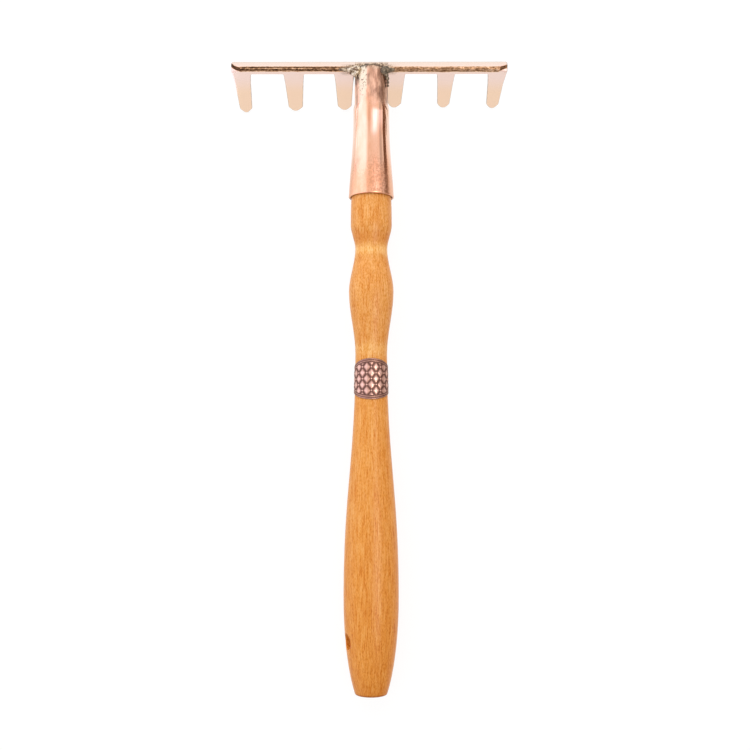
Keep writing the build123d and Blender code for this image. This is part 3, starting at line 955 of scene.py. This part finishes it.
def make_band():
    """Open cuff with a relief outside, on the handle's own curve."""
    columns = 520
    rows = 150
    heights, radii = grip_profile()
    seam_angle = BAND_SEAM_GAP / 2 / (WAIST_RADIUS + BAND_GROUND)
    slant = (BAND_FRONT_HEIGHT - BAND_BACK_HEIGHT) / 4 / (WAIST_RADIUS + BAND_GROUND)
    middle_half = (BAND_FRONT_HEIGHT + BAND_BACK_HEIGHT) / 4
    points = []
    reliefs = []
    for outside in (True, False):
        for row in range(rows):
            share = row / (rows - 1) if outside else 1 - row / (rows - 1)
            for column in range(columns):
                angle = math.pi / 2 + seam_angle + (2 * math.pi - 2 * seam_angle) * column / (columns - 1)
                half = middle_half - slant * WAIST_RADIUS * math.sin(angle)
                z = BAND_Z + half * (2 * share - 1)
                radius = float(np.interp(z, heights, radii)) + BAND_CLEARANCE
                relief = 0
                if outside:
                    around = (angle - 1.5 * math.pi) * WAIST_RADIUS
                    relief = band_relief(around, z - BAND_Z, half - abs(z - BAND_Z))
                    radius += BAND_GROUND + BAND_RELIEF * relief
                points.append(TOOL @ on_turning(radius, angle, z))
                reliefs.append(relief)
    faces = ring_faces(2 * rows, columns, closed_round=False)
    for end in (0, columns - 1):
        for row in range(rows - 1):
            inner = 2 * rows - 1 - row
            corners = [ring * columns + end for ring in (row, row + 1, inner - 1, inner)]
            faces.append(corners if end == 0 else corners[::-1])
    mesh = bpy.data.meshes.new("band_relief")
    mesh.from_pydata(points, [], faces)
    note(mesh, {"relief": reliefs})
    return mesh


def add_camera():
    """Camera that looks at the tool as the photograph does."""
    data = bpy.data.cameras.new("camera")
    data.lens = LENS
    data.sensor_width = SENSOR
    camera = bpy.data.objects.new("camera", data)
    camera.location = CAMERA_PLACE
    camera.rotation_euler = (CAMERA_TIP, 0, 0)
    bpy.context.scene.collection.objects.link(camera)
    bpy.context.scene.camera = camera


def add_softbox(name, towards, distance, size, radiance, mirrored=False):
    """Square lamp in a direction from the tool's middle, which lights it or else only gleams in it."""
    data = bpy.data.lights.new(name, "AREA")
    data.size = size
    data.energy = radiance * math.pi * size**2
    lamp = bpy.data.objects.new(name, data)
    direction = Vector(towards).normalized()
    lamp.location = direction * distance
    lamp.rotation_euler = direction.to_track_quat("Z", "Y").to_euler()
    lamp.visible_camera = False
    lamp.visible_diffuse = not mirrored
    lamp.visible_glossy = mirrored
    bpy.context.scene.collection.objects.link(lamp)


def even_light(nodes, x, y):
    """Light from all round, stronger from the head's side and the left, and warmer from the right."""
    level = nodes.plus(0.79, nodes.times(y, 0.24))
    level = nodes.minus(level, nodes.times(x, 0.06))
    warmth = nodes.mix(nodes.fade(x, 0.0, 0.9), 1.0, (0.97, 0.84, 0.74))
    return nodes.multiply(level, warmth)


def studio_light(nodes, x, y, z):
    """What polished metal mirrors: a dim strip, a left softbox, a lamp, and dark low at right and butt."""
    level = nodes.plus(0.89, nodes.times(nodes.fade(y, 0.25, 0.65), 0.35))
    strip = nodes.band(x, (0.68, 0.76), (0.90, 0.82))
    level = nodes.times(level, nodes.minus(1.0, nodes.times(strip, 0.38)))
    level = nodes.mix(nodes.fade(x, -0.25, -0.55), level, (1.72, 1.77, 2.15))
    halo = nodes.band(x, (-0.2, 0.15), (1.25, 0.6))
    core = nodes.band(x, (0.12, 0.22), (0.62, 0.5))
    lamp = nodes.plus(nodes.times(halo, 0.35), nodes.times(core, 0.32))
    lamp = nodes.times(lamp, nodes.band(y, (0.16, 0.20), (0.36, 0.32)))
    level = nodes.mix(lamp, level, (2.5, 2.9, 4.1))
    low = nodes.fade(nodes.compute("DIVIDE", z, x), 0.27, 0.19)
    low = nodes.times(low, nodes.fade(x, 0.3, 0.5))
    butt = nodes.times(nodes.fade(y, -0.55, -0.8), 0.45)
    return nodes.mix(nodes.compute("MAXIMUM", low, butt), level, (0.16, 0.09, 0.052))


def add_world():
    """White to the camera, a studio in polished metal, and even light for everything else."""
    world = bpy.data.worlds.new("studio")
    bpy.context.scene.world = world
    world.use_nodes = True
    nodes = Nodes(world.node_tree)
    towards = nodes.node("TexCoord", {}).outputs["Generated"]
    x, y, z = nodes.node("SeparateXYZ", {0: towards}).outputs
    path = nodes.node("LightPath", {})
    light = nodes.mix(path.outputs["Is Glossy Ray"], even_light(nodes, x, y), studio_light(nodes, x, y, z))
    background = nodes.tree.nodes["Background"]
    nodes.give(background.inputs["Color"], nodes.mix(path.outputs["Is Camera Ray"], light, 1.0))


def flat_sheet(name, low, high, z):
    """Level rectangle that is part of the set."""
    mesh = bpy.data.meshes.new(name)
    corners = [(low[0], low[1], z), (high[0], low[1], z), (high[0], high[1], z), (low[0], high[1], z)]
    mesh.from_pydata(corners, [], [(0, 1, 2, 3)])
    sheet = bpy.data.objects.new(name, mesh)
    bpy.context.scene.collection.objects.link(sheet)
    return sheet


def add_floor():
    """White floor that keeps a faint shadow."""
    half = 1.5
    floor = flat_sheet("floor", (-half, -half), (half, half), 0)
    look = Look("floor", Base_Color=0.9, Roughness=0.8)
    path = look.node("LightPath", {})
    seen = look.compute("MAXIMUM", path.outputs["Is Camera Ray"], path.outputs["Is Glossy Ray"])
    seen = look.compute("MAXIMUM", seen, path.outputs["Is Transmission Ray"])
    white = look.node("Emission", {"Color": 1.0, "Strength": 1.06})
    share = look.times(seen, 0.85)
    mixed = look.node("MixShader", {0: share, 1: look.shader.outputs[0], 2: white.outputs[0]})
    look.give(look.tree.nodes["Material Output"].inputs["Surface"], mixed.outputs[0])
    floor.data.materials.append(look.material)


def add_card(name, left, right, colour):
    """Lit card lying beside the tool, which only shows as an edge in polished metal."""
    butt_end = -0.4
    head_end = 0.6
    height = 0.5 * MM
    card = flat_sheet(name, (left, butt_end), (right, head_end), height)
    look = Look(name)
    glow = look.node("Emission", {"Color": colour, "Strength": 1.0})
    look.give(look.tree.nodes["Material Output"].inputs["Surface"], glow.outputs[0])
    card.data.materials.append(look.material)
    card.visible_camera = False
    card.visible_diffuse = False
    card.visible_shadow = False


nails = nail_copper()
finish_node("handle", oiled_wood())
finish_node("ferrule_nail", nails)
finish_node("band_tacks", nails)
show("ferrule_sheet", make_ferrule(), ferrule_copper(), "ferrule")
show("bent_head", make_head(), head_copper(), "tine_head")
show("braze_crust", make_braze(), rough_braze(), "braze_fill")
show("relief_band", make_band(), antique_copper(), "handle_band")

add_camera()
add_world()
add_floor()
add_card("brown_card", left=0.18, right=0.9, colour=(0.11, 0.05, 0.02))
add_card("white_card", left=-0.9, right=-0.105, colour=(1.55, 1.6, 1.85))
add_softbox("top", towards=(-0.1, 0.55, 0.8), distance=0.75, size=0.6, radiance=1.5)
add_softbox("sheen", towards=(0.43, -0.18, 0.9), distance=1.5, size=0.75, radiance=6.5, mirrored=True)

bpy.context.scene.view_settings.view_transform = "Standard"
